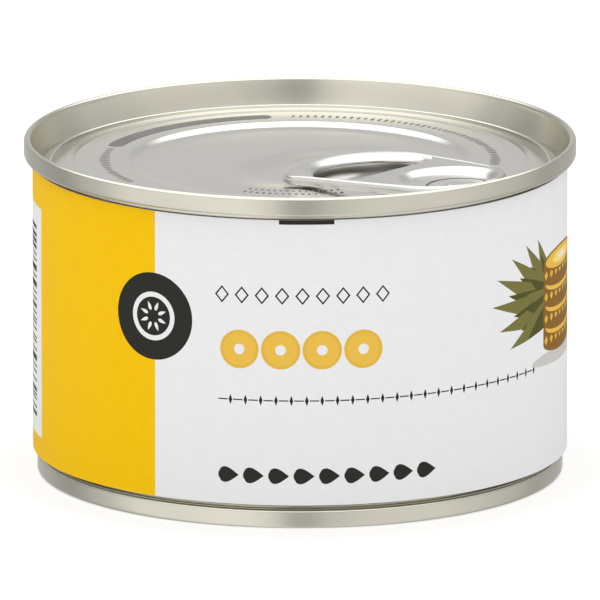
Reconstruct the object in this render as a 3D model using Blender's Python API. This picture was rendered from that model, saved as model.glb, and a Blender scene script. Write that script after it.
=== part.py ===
"""A shut steel food can with a ring-pull lid and a paper label.

Metres, +Z up. The origin is the middle of the circle that the can stands on.
The front of the label faces -Y. Sizes below are millimetres, turned to metres by MM.
"""

import math

import bmesh
import bpy
from mathutils import Vector

MM = 0.001

# Driving sizes, from a can of 87.3 mm over its top seam
CAN_HEIGHT = 53.65
SEAM_RADIUS = 43.65
BODY_RADIUS = 41.75
BASE_SEAM_RADIUS = 41.6
SEAM_HEIGHT = 3.1
SEAM_THICKNESS = 1.15
SEAM_CORNER = 0.4
FIT_GAP = 0.3

# Neck of the steel wall, as heights above the floor
NECK_TOP = 5.1
NECK_FOOT = 3.9
NECK_RADIUS = 41.0

# Label
LABEL_BOTTOM = 3.9
LABEL_TOP = 49.8
LABEL_THICKNESS = 0.25
LABEL_LAP_ANGLE = 12.0
LABEL_LAP_STEP = 0.15
LABEL_EDGE_AZIMUTH = 100.0
LABEL_EDGE_TURN = 0.2

# Lid, as depths below the crest of the seam
RIM_PANEL_DEPTH = 3.75
CENTRE_PANEL_DEPTH = 4.45
GROOVE_DEPTH = 4.8
LID_UNDERSIDE_DEPTH = 5.6
CHUCK_WALL_FOOT = 41.0
GROOVE_RADIUS = 40.4
GROOVE_CORNER = 0.3
PANEL_RADIUS = 39.9
BEAD_RADIUS = 35.2
BEAD_HALF_WIDTH = 0.9
BEAD_HALF_CROWN = 0.35
BEAD_HEIGHT = 0.25
STEP_INNER = 24.0
STEP_OUTER = 27.4

# Finger well, with its section as shares of the well's size and depth
WELL_CENTRE = 4.0
WELL_HALF_LENGTH = 12.5
WELL_HALF_WIDTH = 18.0
WELL_DEPTH = 0.6
WELL_SECTION = ((1.15, 0.3), (1.0, 0.0), (0.72, -0.75), (0.45, -1.0))

# Base end, as heights above the floor
BASE_PANEL_HEIGHT = 3.4
BASE_GROOVE_HEIGHT = 4.3
BASE_TOP_HEIGHT = 5.0
BASE_WALL = 0.75
BASE_FLAT_INNER = 40.75
BASE_FLAT_OUTER = 41.25
BASE_GROOVE_OUTER = 38.9
BASE_GROOVE_INNER = 38.4
BASE_CORNER = 0.4
BASE_RING_INNER = 26.0
BASE_RING_OUTER = 32.8
BASE_RING_SLOPE = 0.8
BASE_RING_DROP = 0.5

# Ring pull: places along its axis are measured outwards from the middle of the lid
TAB_AZIMUTH = -40.5
TAB_THICKNESS = 1.5
TAB_NOSE_DEPTH = 1.8
TAB_SLOPE = 0.05
RING_CENTRE = 9.2
RING_HALF_LENGTH = 6.8
RING_HALF_WIDTH = 12.7
NOSE_CENTRE = 29.0
NOSE_RADIUS = 10.4
HOLE_CENTRE = 17.0
HOLE_HALF_LENGTH = 11.2
HOLE_HALF_WIDTH = 10.3
HOLE_CORNER = 3.0
WEB_EDGE = 19.7
WEB_HALF_WIDTH = 11.2
WEB_DROP = 0.12
WEB_THICKNESS = 0.5
WEB_OVERLAP = 0.4
NOSE_INNER_RADIUS = 8.4
NOSE_UNDERSIDE_DEPTH = 3.35
CUT_MARGIN = 0.5

# Round dish sunk in the web for the rivet, its section as radius and height over its floor
DISH_CENTRE = 30.8
DISH_DEPTH = 3.05
DISH_CUT_RADIUS = 7.8
DISH_SECTION = ((6.7, -0.4), (8.3, 0.35), (8.3, 0.7), (8.0, 0.7), (6.4, 0.0))

# Rolled band of the ring pull: share of its width inwards, share of its thickness up
BAND_SECTION = ((0.1, 0.0), (0.0, 0.45), (0.08, 0.85), (0.3, 1.0),
                (0.6, 0.85), (0.88, 0.52), (1.0, 0.2), (0.9, 0.0))

# Rivet, and the slit round it
RIVET_CENTRE = 33.4
RIVET_STEM_RADIUS = 1.4
RIVET_HEAD_RADIUS = 2.5
RIVET_CROWN_RADIUS = 2.1
RIVET_HEAD_HEIGHT = 0.3
RIVET_EDGE = 0.12
RIVET_DIMPLE = 0.1
RIVET_HEAD_GAP = 0.2
RIVET_ROOT = 0.6
SLIT_RADIUS = 5.4
SLIT_WIDTH = 0.5
SLIT_OPENING = 150.0

# Facets round the can, the ring pull, small round features and rounded corners
TURN_STEPS = 72
TAB_STEPS = 48
SMALL_STEPS = 24
CREST_STEPS = 6
CORNER_STEPS = 3

TIN = (0.60, 0.58, 0.53)
LID_TIN = (0.66, 0.65, 0.62)
PAPER = (0.88, 0.88, 0.88)


def clear_scene():
    for obj in list(bpy.data.objects):
        bpy.data.objects.remove(obj, do_unlink=True)


def finish_material(name, colour, roughness, metallic):
    """One Principled BSDF finish."""
    found = bpy.data.materials.new(name)
    found.use_nodes = True
    shader = found.node_tree.nodes["Principled BSDF"]
    shader.inputs["Base Color"].default_value = (*colour, 1.0)
    shader.inputs["Roughness"].default_value = roughness
    shader.inputs["Metallic"].default_value = metallic
    return found


def add_object(name, bm, material=None):
    """Turn a bmesh in millimetres into a smooth-shaded object in metres."""
    bmesh.ops.scale(bm, vec=(MM, MM, MM), verts=bm.verts)
    bmesh.ops.recalc_face_normals(bm, faces=bm.faces)
    mesh = bpy.data.meshes.new(name)
    bm.to_mesh(mesh)
    bm.free()
    mesh.shade_smooth()
    mesh.set_sharp_from_angle(angle=math.radians(35))
    obj = bpy.data.objects.new(name, mesh)
    bpy.context.scene.collection.objects.link(obj)
    if material:
        mesh.materials.append(material)
    return obj


def arc(centre, radius, start, end, steps):
    """Points along an arc in a plane, angles in degrees."""
    points = []
    for i in range(steps + 1):
        angle = math.radians(start + (end - start) * i / steps)
        points.append((centre[0] + radius * math.cos(angle),
                       centre[1] + radius * math.sin(angle)))
    return points


def skin_loops(bm, loops, closed=False, capped=False):
    """Bridge rings of equal length with quads, and close or cap the ends."""
    count = len(loops[0])
    pairs = list(zip(loops, loops[1:]))
    if closed:
        pairs.append((loops[-1], loops[0]))
    for here, there in pairs:
        for i in range(count):
            j = (i + 1) % count
            bm.faces.new((here[i], here[j], there[j], there[i]))
    if capped:
        bm.faces.new(loops[0])
        bm.faces.new(loops[-1])


def turned(name, profile, material):
    """Spin a profile that starts and ends on the axis, and so closes by itself."""
    bm = bmesh.new()
    loops = []
    for radius, height in profile[1:-1]:
        ring = []
        for x, y in arc((0.0, 0.0), radius, 0.0, 360.0, TURN_STEPS)[:-1]:
            ring.append(bm.verts.new((x, y, height)))
        loops.append(ring)
    skin_loops(bm, loops)
    for end, ring in ((profile[0], loops[0]), (profile[-1], loops[-1])):
        pole = bm.verts.new((0.0, 0.0, end[1]))
        for i in range(TURN_STEPS):
            bm.faces.new((pole, ring[i], ring[(i + 1) % TURN_STEPS]))
    return add_object(name, bm, material)


def combine(obj, cutter, operation):
    """Boolean with a guide object that stays out of renders."""
    modifier = obj.modifiers.new(cutter.name, "BOOLEAN")
    modifier.operation = operation
    modifier.solver = "EXACT"
    modifier.object = cutter
    cutter.hide_render = True
    cutter.display_type = "WIRE"


def tab_top(along):
    """Height of the ring pull's top plane, which falls from the nose to the ring."""
    return CAN_HEIGHT - TAB_NOSE_DEPTH - TAB_SLOPE * (NOSE_CENTRE - along)


def tab_place(along, across, height):
    """World place of a point given along and across the ring pull."""
    axis = math.radians(TAB_AZIMUTH)
    return Vector((along * math.cos(axis) - across * math.sin(axis),
                   along * math.sin(axis) + across * math.cos(axis), height))


def tab_outline(centre, half_length, half_width, nose_radius):
    """Tightest outline round an ellipse and the nose's circle, one point per direction."""
    points = []
    for i in range(TAB_STEPS):
        angle = 2 * math.pi * (i + 0.5) / TAB_STEPS
        c, s = math.cos(angle), math.sin(angle)
        reach = math.hypot(half_length * c, half_width * s)
        if reach + centre * c > nose_radius + NOSE_CENTRE * c:
            points.append(Vector((centre + half_length ** 2 * c / reach,
                                  half_width ** 2 * s / reach)))
        else:
            points.append(Vector((NOSE_CENTRE + nose_radius * c, nose_radius * s)))
    return points


def dish_prism(name, outline):
    """Guide: an outline given along and across the ring pull, cut through the dish's floor."""
    floor = CAN_HEIGHT - DISH_DEPTH
    bm = bmesh.new()
    loops = []
    for height in (floor + DISH_SECTION[0][1] - CUT_MARGIN, floor + CUT_MARGIN):
        loops.append([bm.verts.new(tab_place(u, v, height)) for u, v in outline])
    skin_loops(bm, loops, capped=True)
    return add_object(name, bm)


def make_body(tin):
    """Steel wall and what it holds, as one solid, with the neck above the base seam."""
    top = CAN_HEIGHT - LID_UNDERSIDE_DEPTH - FIT_GAP
    socket = BASE_SEAM_RADIUS - SEAM_THICKNESS - BASE_WALL + FIT_GAP
    lip = SEAM_HEIGHT + FIT_GAP
    ceiling = BASE_TOP_HEIGHT + FIT_GAP
    profile = [(0.0, top), (BODY_RADIUS, top), (BODY_RADIUS, NECK_TOP),
               (NECK_RADIUS, NECK_FOOT), (BASE_SEAM_RADIUS - SEAM_THICKNESS, lip),
               (socket, lip), (socket, ceiling), (0.0, ceiling)]
    return turned("can_body", profile, tin)


def make_lid(tin):
    """Double seam, chuck wall, groove, bead, stepped panel and rivet, in one solid."""
    rim_panel = CAN_HEIGHT - RIM_PANEL_DEPTH
    centre_panel = CAN_HEIGHT - CENTRE_PANEL_DEPTH
    groove = CAN_HEIGHT - GROOVE_DEPTH
    underside = CAN_HEIGHT - LID_UNDERSIDE_DEPTH
    seam_foot = CAN_HEIGHT - SEAM_HEIGHT
    bead_top = rim_panel + BEAD_HEIGHT
    fold = SEAM_THICKNESS / 2
    profile = [(0.0, centre_panel)]
    for share in (0.0, 0.3, 0.7, 1.0):
        rise = share * share * (3 - 2 * share) * (rim_panel - centre_panel)
        profile.append((STEP_INNER + share * (STEP_OUTER - STEP_INNER), centre_panel + rise))
    profile += [(BEAD_RADIUS - BEAD_HALF_WIDTH, rim_panel),
                (BEAD_RADIUS - BEAD_HALF_CROWN, bead_top),
                (BEAD_RADIUS + BEAD_HALF_CROWN, bead_top),
                (BEAD_RADIUS + BEAD_HALF_WIDTH, rim_panel),
                (PANEL_RADIUS - GROOVE_CORNER, rim_panel),
                (PANEL_RADIUS, rim_panel - GROOVE_CORNER),
                (PANEL_RADIUS, groove + GROOVE_CORNER),
                (GROOVE_RADIUS, groove), (CHUCK_WALL_FOOT, groove + GROOVE_CORNER)]
    profile += arc((SEAM_RADIUS - fold, CAN_HEIGHT - fold), fold, 180.0, 0.0, CREST_STEPS)
    profile += arc((SEAM_RADIUS - SEAM_CORNER, seam_foot + SEAM_CORNER), SEAM_CORNER,
                   0.0, -90.0, CORNER_STEPS)
    profile += [(BODY_RADIUS, seam_foot), (BODY_RADIUS, underside), (0.0, underside)]
    lid = turned("lid", profile, tin)
    combine(lid, make_finger_well(centre_panel), "DIFFERENCE")
    combine(lid, make_rivet(rim_panel), "UNION")
    return lid


def make_finger_well(floor):
    """Guide: a shallow dish under the lifting end of the ring."""
    bm = bmesh.new()
    loops = []
    for share, height in WELL_SECTION:
        ring = []
        for x, y in arc((0.0, 0.0), share, 0.0, 360.0, SMALL_STEPS)[:-1]:
            spot = tab_place(WELL_CENTRE + x * WELL_HALF_LENGTH, y * WELL_HALF_WIDTH,
                             floor + height * WELL_DEPTH)
            ring.append(bm.verts.new(spot))
        loops.append(ring)
    skin_loops(bm, loops, capped=True)
    return add_object("finger_well_guide", bm)


def make_rivet(floor):
    """Guide: the stem drawn up from the lid's own metal, and the head flattened over the tab."""
    head = CAN_HEIGHT - DISH_DEPTH + RIVET_HEAD_GAP
    crown = head + RIVET_HEAD_HEIGHT
    profile = ((RIVET_STEM_RADIUS, floor - RIVET_ROOT), (RIVET_STEM_RADIUS, head),
               (RIVET_HEAD_RADIUS - RIVET_EDGE, head), (RIVET_HEAD_RADIUS, head + RIVET_EDGE),
               (RIVET_CROWN_RADIUS, crown), (RIVET_STEM_RADIUS, crown - RIVET_DIMPLE))
    return turned_guide("rivet_guide", RIVET_CENTRE, profile)


def turned_guide(name, centre, profile):
    """Guide: a profile spun about an upright axis on the ring pull's centre line."""
    bm = bmesh.new()
    loops = []
    for radius, height in profile:
        ring = []
        for u, v in arc((centre, 0.0), radius, 0.0, 360.0, TAB_STEPS)[:-1]:
            ring.append(bm.verts.new(tab_place(u, v, height)))
        loops.append(ring)
    skin_loops(bm, loops, capped=True)
    return add_object(name, bm)


def make_base(tin):
    """Base seam that the can stands on, and the recessed base panel inside it."""
    seam_inner = BASE_SEAM_RADIUS - SEAM_THICKNESS
    hub = seam_inner - BASE_WALL
    panel = BASE_PANEL_HEIGHT
    ring = panel - BASE_RING_DROP
    groove = BASE_GROOVE_HEIGHT
    profile = [(0.0, BASE_TOP_HEIGHT), (hub, BASE_TOP_HEIGHT), (hub, SEAM_HEIGHT),
               (BASE_SEAM_RADIUS - SEAM_CORNER, SEAM_HEIGHT),
               (BASE_SEAM_RADIUS, SEAM_HEIGHT - SEAM_CORNER),
               (BASE_SEAM_RADIUS, SEAM_CORNER), (BASE_FLAT_OUTER, 0.0), (BASE_FLAT_INNER, 0.0),
               (seam_inner, BASE_CORNER),
               (BASE_GROOVE_OUTER + BASE_CORNER, groove - BASE_CORNER),
               (BASE_GROOVE_OUTER, groove), (BASE_GROOVE_INNER, groove),
               (BASE_GROOVE_INNER - BASE_CORNER, panel),
               (BASE_RING_OUTER, panel), (BASE_RING_OUTER - BASE_RING_SLOPE, ring),
               (BASE_RING_INNER + BASE_RING_SLOPE, ring), (BASE_RING_INNER, panel),
               (0.0, panel)]
    return turned("base_end", profile, tin)


def make_label(paper):
    """Paper wrapped once round the body, its end glued over its start."""
    inner = BODY_RADIUS + FIT_GAP
    outer = inner + LABEL_THICKNESS
    turns = [360.0 * i / TURN_STEPS for i in range(TURN_STEPS)] + [360.0 - LABEL_EDGE_TURN]
    bm = bmesh.new()
    loops = [[], [], [], []]
    for turn in turns:
        proud = LABEL_LAP_STEP if turn <= LABEL_LAP_ANGLE else 0.0
        corners = ((inner, LABEL_BOTTOM), (outer + proud, LABEL_BOTTOM),
                   (outer + proud, LABEL_TOP), (inner, LABEL_TOP))
        angle = math.radians(LABEL_EDGE_AZIMUTH + turn)
        for loop, (radius, height) in zip(loops, corners):
            spot = (radius * math.cos(angle), radius * math.sin(angle), height)
            loop.append(bm.verts.new(spot))
    skin_loops(bm, loops, closed=True)
    return add_object("label", bm, paper)


def make_tab(tin):
    """Ring pull: a rolled band, thicker at its nose, a flush web and a dish for the rivet."""
    outer = tab_outline(RING_CENTRE, RING_HALF_LENGTH, RING_HALF_WIDTH, NOSE_RADIUS)
    inner = tab_outline(HOLE_CENTRE, HOLE_HALF_LENGTH, HOLE_HALF_WIDTH, NOSE_INNER_RADIUS)
    bm = bmesh.new()
    loops = []
    for inwards, height in BAND_SECTION:
        ring = []
        for rim, hole in zip(outer, inner):
            u, v = rim.lerp(hole, inwards)
            top = tab_top(u)
            thickness = max(TAB_THICKNESS, top - (CAN_HEIGHT - NOSE_UNDERSIDE_DEPTH))
            ring.append(bm.verts.new(tab_place(u, v, top + thickness * (height - 1.0))))
        loops.append(ring)
    skin_loops(bm, loops, closed=True)
    tab = add_object("pull_tab", bm, tin)
    combine(tab, make_web(outer, inner), "UNION")
    combine(tab, make_dish(), "UNION")
    combine(tab, make_slit(), "DIFFERENCE")
    combine(tab, make_stem_hole(), "DIFFERENCE")
    return tab


def make_web(outer, inner):
    """Guide: the web, from inside the band to the edge of the finger hole, open at the dish."""
    corner = WEB_EDGE - HOLE_CORNER
    rim = []
    for point, hole in zip(outer, inner):
        spot = point.lerp(hole, WEB_OVERLAP)
        if spot.x > corner:
            rim.append(tuple(spot))
    turn = len(rim) // 2
    rim = rim[turn:] + rim[:turn]
    side = WEB_HALF_WIDTH - HOLE_CORNER
    edge = arc((corner, side), HOLE_CORNER, 90.0, 0.0, CORNER_STEPS)
    edge += arc((corner, -side), HOLE_CORNER, 0.0, -90.0, CORNER_STEPS)
    bm = bmesh.new()
    loops = []
    for drop in (WEB_DROP + WEB_THICKNESS, WEB_DROP):
        loops.append([bm.verts.new(tab_place(u, v, tab_top(u) - drop)) for u, v in edge + rim])
    skin_loops(bm, loops, capped=True)
    web = add_object("web_guide", bm)
    opening = ((DISH_CUT_RADIUS, CAN_HEIGHT - LID_UNDERSIDE_DEPTH), (DISH_CUT_RADIUS, CAN_HEIGHT))
    combine(web, turned_guide("dish_opening_guide", DISH_CENTRE, opening), "DIFFERENCE")
    return web


def make_dish():
    """Guide: the dish round the rivet, with its sloping side."""
    floor = CAN_HEIGHT - DISH_DEPTH
    profile = [(radius, floor + height) for radius, height in DISH_SECTION]
    return turned_guide("dish_guide", DISH_CENTRE, profile)


def make_slit():
    """Guide: the C-shaped slit that frees the tongue round the rivet."""
    start = SLIT_OPENING / 2
    end = 360.0 - SLIT_OPENING / 2
    centre = (RIVET_CENTRE, 0.0)
    outline = arc(centre, SLIT_RADIUS + SLIT_WIDTH / 2, start, end, SMALL_STEPS)
    outline += arc(centre, SLIT_RADIUS - SLIT_WIDTH / 2, end, start, SMALL_STEPS)
    return dish_prism("slit_guide", outline)


def make_stem_hole():
    """Guide: clearance in the tongue for the rivet's stem."""
    outline = arc((RIVET_CENTRE, 0.0), RIVET_STEM_RADIUS + FIT_GAP, 0.0, 360.0, SMALL_STEPS)[:-1]
    return dish_prism("stem_hole_guide", outline)


def main():
    clear_scene()
    tin = finish_material("tinplate", TIN, 0.32, 1.0)
    lid_tin = finish_material("lid_tinplate", LID_TIN, 0.22, 1.0)
    paper = finish_material("label_paper", PAPER, 0.45, 0.0)
    make_body(tin)
    make_base(tin)
    make_lid(lid_tin)
    make_tab(lid_tin)
    make_label(paper)


main()
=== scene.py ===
# %% [markdown]
# # A shut food can with a ring pull
# The can is a low steel cylinder of fruit: a wall, two ends folded on with double seams, a ring
# pull riveted to the lid, and a paper label glued round it. Each cell below makes one piece or one
# finish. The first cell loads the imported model, which fixes where every piece sits, in metres.
# Sizes in this file are written in millimetres, as a can maker would, and MM turns them to metres.
# Three small helpers make objects and materials, and set the inputs of a node.

# %% Load the frame
import math
import random

import bmesh
import bpy
from mathutils import Matrix, Vector
from mathutils.geometry import delaunay_2d_cdt


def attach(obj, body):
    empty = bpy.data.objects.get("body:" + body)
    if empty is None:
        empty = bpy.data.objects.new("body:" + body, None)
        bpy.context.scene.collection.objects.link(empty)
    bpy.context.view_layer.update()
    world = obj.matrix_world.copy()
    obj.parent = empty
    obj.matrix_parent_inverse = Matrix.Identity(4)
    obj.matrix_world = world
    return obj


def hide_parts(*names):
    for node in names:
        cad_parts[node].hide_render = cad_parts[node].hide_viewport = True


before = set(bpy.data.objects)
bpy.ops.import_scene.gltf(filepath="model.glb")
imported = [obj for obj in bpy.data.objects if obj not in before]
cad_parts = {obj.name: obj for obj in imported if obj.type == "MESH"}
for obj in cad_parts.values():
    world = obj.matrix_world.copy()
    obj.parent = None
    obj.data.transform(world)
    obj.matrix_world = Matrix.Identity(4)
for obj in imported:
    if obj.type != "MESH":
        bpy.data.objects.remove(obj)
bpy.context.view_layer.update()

MM = 0.001


def new_object(name, data):
    """An object in the scene, with its mesh or camera."""
    obj = bpy.data.objects.new(name, data)
    bpy.context.scene.collection.objects.link(obj)
    return obj


def new_material(name):
    """A material with its node tree and the shader in it."""
    material = bpy.data.materials.new(name)
    material.use_nodes = True
    return material, material.node_tree, material.node_tree.nodes["Principled BSDF"]


def set_inputs(node, values):
    for name, value in values.items():
        node.inputs[name].default_value = value


# %% [markdown]
# ## The can's main sizes
# A can is named by the diameter over its top seam, here 87.3 mm. Everything else is set from the
# crest of that seam or from the floor. Keeping these as names means that each later cell can be
# read against a drawing of the can.

# %% Sizes
CAN_HEIGHT = 53.65
SEAM_RADIUS = 43.65
SEAM_HEIGHT = 3.1
SEAM_THICKNESS = 1.15
BODY_RADIUS = 41.75
BASE_SEAM_RADIUS = 41.6
RIM_PANEL = CAN_HEIGHT - 3.75
CENTRE_PANEL = CAN_HEIGHT - 4.45
LABEL_INNER = BODY_RADIUS + 0.3
LABEL_OUTER = LABEL_INNER + 0.25
LABEL_BOTTOM = 3.9
LABEL_TOP = 49.8
TAB_AZIMUTH = math.radians(-40.5)
ROUND_STEPS = 256
print("can of", 2 * SEAM_RADIUS, "x", CAN_HEIGHT, "mm")

# %% [markdown]
# ## The camera
# The can fills a square frame, seen from 13 degrees above and from far away, so its ellipses
# hardly change from front to back. A long lens at four metres gives that flat product-shot look.
# The lens comes from one measured figure: how many pixels of a 600-pixel frame one millimetre
# covers.

# %% Camera
PIXELS_PER_MM = 6.32
CAMERA_DISTANCE = 4.0
CAMERA_ELEVATION = math.radians(13.2)
AIM = Vector((0.0, 0.0, 27.1)) * MM
SENSOR = 36.0
FRAME_PIXELS = 600

camera_data = bpy.data.cameras.new("camera")
camera_data.sensor_width = SENSOR
camera_data.lens = PIXELS_PER_MM / MM * CAMERA_DISTANCE * SENSOR / FRAME_PIXELS
camera = new_object("camera", camera_data)
towards_camera = Vector((0.0, -math.cos(CAMERA_ELEVATION), math.sin(CAMERA_ELEVATION)))
camera.location = AIM + towards_camera * CAMERA_DISTANCE
camera.rotation_euler = (math.pi / 2 - CAMERA_ELEVATION, 0.0, 0.0)
bpy.context.scene.camera = camera
bpy.context.scene.view_settings.view_transform = "Standard"
print("lens", round(camera_data.lens), "mm")

# %% [markdown]
# ## The studio
# Polished tin has no colour of its own: what you see in it is the room. So the light is a room,
# made in the world shader. Two soft white walls stand left and right of the camera, the gap
# between them is greyer, and all walls dim a little upwards. The ceiling is the brightest part,
# and comes lower behind the can. `Generated` in a world shader is the direction of the ray, and
# its angle round the vertical picks a stop from a colour ramp. A ramp keeps the bright and dark
# walls in one place where they can be moved.

# %% Studio light
# Each stop: share of a turn, with the camera's side at 0.5 and its right above that, and the grey
WALL_STOPS = ((0.000, 0.37), (0.100, 0.29), (0.167, 0.24), (0.235, 0.37), (0.290, 0.55),
              (0.430, 0.61), (0.465, 0.55), (0.490, 0.30), (0.510, 0.30), (0.540, 0.42),
              (0.600, 0.50), (0.680, 0.50), (0.730, 0.43), (0.780, 0.38), (0.850, 0.27),
              (0.920, 0.30), (1.000, 0.37))
WALL_STRENGTH = 1.6
UPPER_SHARE = 0.86
CEILING_STRENGTH = 1.5
# Heights are those of a ray of length one: 0 is level, and 1 is straight up
DIM_START, DIM_FULL = 0.1, 0.4
CEILING_START, CEILING_FULL = 0.56, 0.70
CEILING_DIP = 0.10
DIP_STEEPNESS = 2.0
LIGHT_COLOUR = (1.0, 0.995, 0.985, 1.0)


def math_node(tree, operation, *values):
    """A Math node whose inputs are numbers or other nodes' outputs."""
    node = tree.nodes.new("ShaderNodeMath")
    node.operation = operation
    for socket, value in zip(node.inputs, values):
        if isinstance(value, (int, float)):
            socket.default_value = value
        else:
            tree.links.new(value, socket)
    return node.outputs[0]


def range_node(tree, value, start, end, low=0.0, high=1.0, kind="LINEAR"):
    """A Map Range node that carries start to low and end to high, and stops there."""
    node = tree.nodes.new("ShaderNodeMapRange")
    node.interpolation_type = kind
    set_inputs(node, {"From Min": start, "From Max": end, "To Min": low, "To Max": high})
    tree.links.new(value, node.inputs["Value"])
    return node.outputs["Result"]


world = bpy.data.worlds.new("studio")
world.use_nodes = True
bpy.context.scene.world = world
sky = world.node_tree
direction = sky.nodes.new("ShaderNodeSeparateXYZ")
sky.links.new(sky.nodes.new("ShaderNodeTexCoord").outputs["Generated"], direction.inputs[0])
backwards = math_node(sky, "MULTIPLY", direction.outputs["Y"], -1.0)
turn = math_node(sky, "ARCTAN2", direction.outputs["X"], backwards)
walls = sky.nodes.new("ShaderNodeValToRGB")
sky.links.new(math_node(sky, "MULTIPLY_ADD", turn, 0.5 / math.pi, 0.5), walls.inputs["Fac"])
walls.color_ramp.interpolation = "EASE"
ramp = walls.color_ramp.elements
ramp[0].position, ramp[1].position = WALL_STOPS[0][0], WALL_STOPS[-1][0]
for place, _ in WALL_STOPS[1:-1]:
    ramp.new(place)
for stop, (place, grey) in zip(ramp, WALL_STOPS):
    stop.color = (grey, grey, grey, 1.0)
behind = math_node(sky, "MULTIPLY", direction.outputs["Y"], DIP_STEEPNESS)
behind.node.use_clamp = True
raised = math_node(sky, "MULTIPLY_ADD", behind, CEILING_DIP, direction.outputs["Z"])
ceiling = range_node(sky, raised, CEILING_START, CEILING_FULL, kind="SMOOTHSTEP")
strength = range_node(sky, direction.outputs["Z"], DIM_START, DIM_FULL,
                      WALL_STRENGTH, WALL_STRENGTH * UPPER_SHARE)
wall_light = math_node(sky, "MULTIPLY", walls.outputs["Color"], strength)
wall_light = math_node(sky, "MULTIPLY", wall_light, math_node(sky, "SUBTRACT", 1.0, ceiling))
room = math_node(sky, "MULTIPLY_ADD", ceiling, CEILING_STRENGTH, wall_light)
sky.links.new(room, sky.nodes["Background"].inputs["Strength"])
sky.nodes["Background"].inputs["Color"].default_value = LIGHT_COLOUR
print("studio with", len(WALL_STOPS), "wall stops")

# %% [markdown]
# ## The floor
# A pale sheet under the can. It glows a little, as a sheet lit from below does, which keeps it
# white and the can's shadow faint. It is hidden from glossy rays, so that both seams mirror the
# studio walls and not the sheet.

# %% Floor
FLOOR_HALF_SIDE = 3.0
FLOOR_COLOUR = (0.89, 0.89, 0.89, 1.0)
FLOOR_GLOW = 0.28


def pale_floor():
    """A square sheet at floor level, for the picture only."""
    bm = bmesh.new()
    bmesh.ops.create_grid(bm, x_segments=1, y_segments=1, size=FLOOR_HALF_SIDE)
    mesh = bpy.data.meshes.new("floor")
    bm.to_mesh(mesh)
    bm.free()
    sheet, _, shader = new_material("floor_sheet")
    set_inputs(shader, {"Base Color": FLOOR_COLOUR, "Roughness": 0.9,
                        "Emission Color": (1.0, 1.0, 1.0, 1.0), "Emission Strength": FLOOR_GLOW})
    mesh.materials.append(sheet)
    obj = new_object("floor", mesh)
    obj.visible_glossy = False
    return obj


print(pale_floor().name, 2 * FLOOR_HALF_SIDE, "m across")

# %% [markdown]
# ## Tinplate
# Tinplate is thin steel with a skin of tin: a soft mirror, slightly yellow, with a rolled grain
# and faint rings where tools have turned against it. A metallic Principled shader gives the
# mirror. A noise stretched along one direction gives the grain: it varies the roughness and tilts
# the surface a very little. Turned pieces take rings, from a noise that reads distance from the
# axis and height, and flat sheet takes straight grain. Both read Object coordinates, so no seam
# shows in them.

# %% Tinplate finishes
TIN_COLOUR = (0.770, 0.748, 0.650)
LID_COLOUR = (0.900, 0.890, 0.846)
TAB_COLOUR = (0.790, 0.785, 0.760)
# Dark tin for the stamped marks and strip: painted shade of their stamped relief
RELIEF_SHADE_COLOUR = (0.250, 0.245, 0.235)
# Dark tin for the faces that look down under the ring pull: painted shade in the gap between tab
# and lid
UNDERSIDE_SHADE_COLOUR = (0.340, 0.330, 0.310)
# Noise cells to a metre, across the grain and along it
RINGS_ACROSS, RINGS_ALONG = 2600.0, 40.0
GRAIN_ACROSS, GRAIN_ALONG = 2400.0, 60.0
CLOUDS = 90.0
RELIEF = 0.02 * MM


def noise_node(tree, place, scale, detail):
    """Share from 0 to 1 that wanders with place."""
    node = tree.nodes.new("ShaderNodeTexNoise")
    set_inputs(node, {"Scale": scale, "Detail": detail})
    tree.links.new(place, node.inputs["Vector"])
    return node.outputs["Fac"]


def uneven_colour(tree, share, colour, spread):
    """The colour, darker and lighter by the spread as the share goes from 0 to 1."""
    mix = tree.nodes.new("ShaderNodeMix")
    mix.data_type = "RGBA"
    tree.links.new(share, mix.inputs["Factor"])
    # In this mode inputs 6 and 7 are the two colours, and output 2 is their mix
    for socket, level in ((mix.inputs[6], 1.0 - spread), (mix.inputs[7], 1.0 + spread)):
        socket.default_value = (*(min(1.0, part * level) for part in colour), 1.0)
    return mix.outputs[2]


def bump_node(tree, height, strength):
    """Normals tilted by a height."""
    node = tree.nodes.new("ShaderNodeBump")
    set_inputs(node, {"Strength": strength, "Distance": RELIEF})
    tree.links.new(height, node.inputs["Height"])
    return node.outputs["Normal"]


def tinplate(name, colour, roughness, rings, grain=0.05, tarnish=0.06):
    """Soft mirror of tin, with a grain that runs round the can or along the sheet."""
    metal, tree, shader = new_material(name)
    shader.inputs["Metallic"].default_value = 1.0
    place = tree.nodes.new("ShaderNodeTexCoord").outputs["Object"]
    stretched = tree.nodes.new("ShaderNodeCombineXYZ")
    split = tree.nodes.new("ShaderNodeSeparateXYZ")
    tree.links.new(place, split.inputs[0])
    x, y, z = (split.outputs[axis] for axis in "XYZ")
    if rings:
        squares = math_node(tree, "MULTIPLY_ADD", y, y, math_node(tree, "MULTIPLY", x, x))
        radius = math_node(tree, "SQRT", squares)
        scales = ((radius, RINGS_ACROSS), (z, RINGS_ACROSS), (x, RINGS_ALONG))
    else:
        scales = ((x, GRAIN_ALONG), (y, GRAIN_ACROSS), (z, GRAIN_ALONG))
    for (value, scale), socket in zip(scales, stretched.inputs):
        tree.links.new(math_node(tree, "MULTIPLY", value, scale), socket)
    fine = noise_node(tree, stretched.outputs[0], scale=1.0, detail=3.0)
    clouds = noise_node(tree, place, scale=CLOUDS, detail=4.0)
    tint = uneven_colour(tree, clouds, colour, tarnish)
    uneven = math_node(tree, "MULTIPLY_ADD", fine, 2 * grain, roughness - grain)
    tree.links.new(tint, shader.inputs["Base Color"])
    tree.links.new(uneven, shader.inputs["Roughness"])
    tree.links.new(bump_node(tree, fine, strength=0.02), shader.inputs["Normal"])
    return metal


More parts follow.
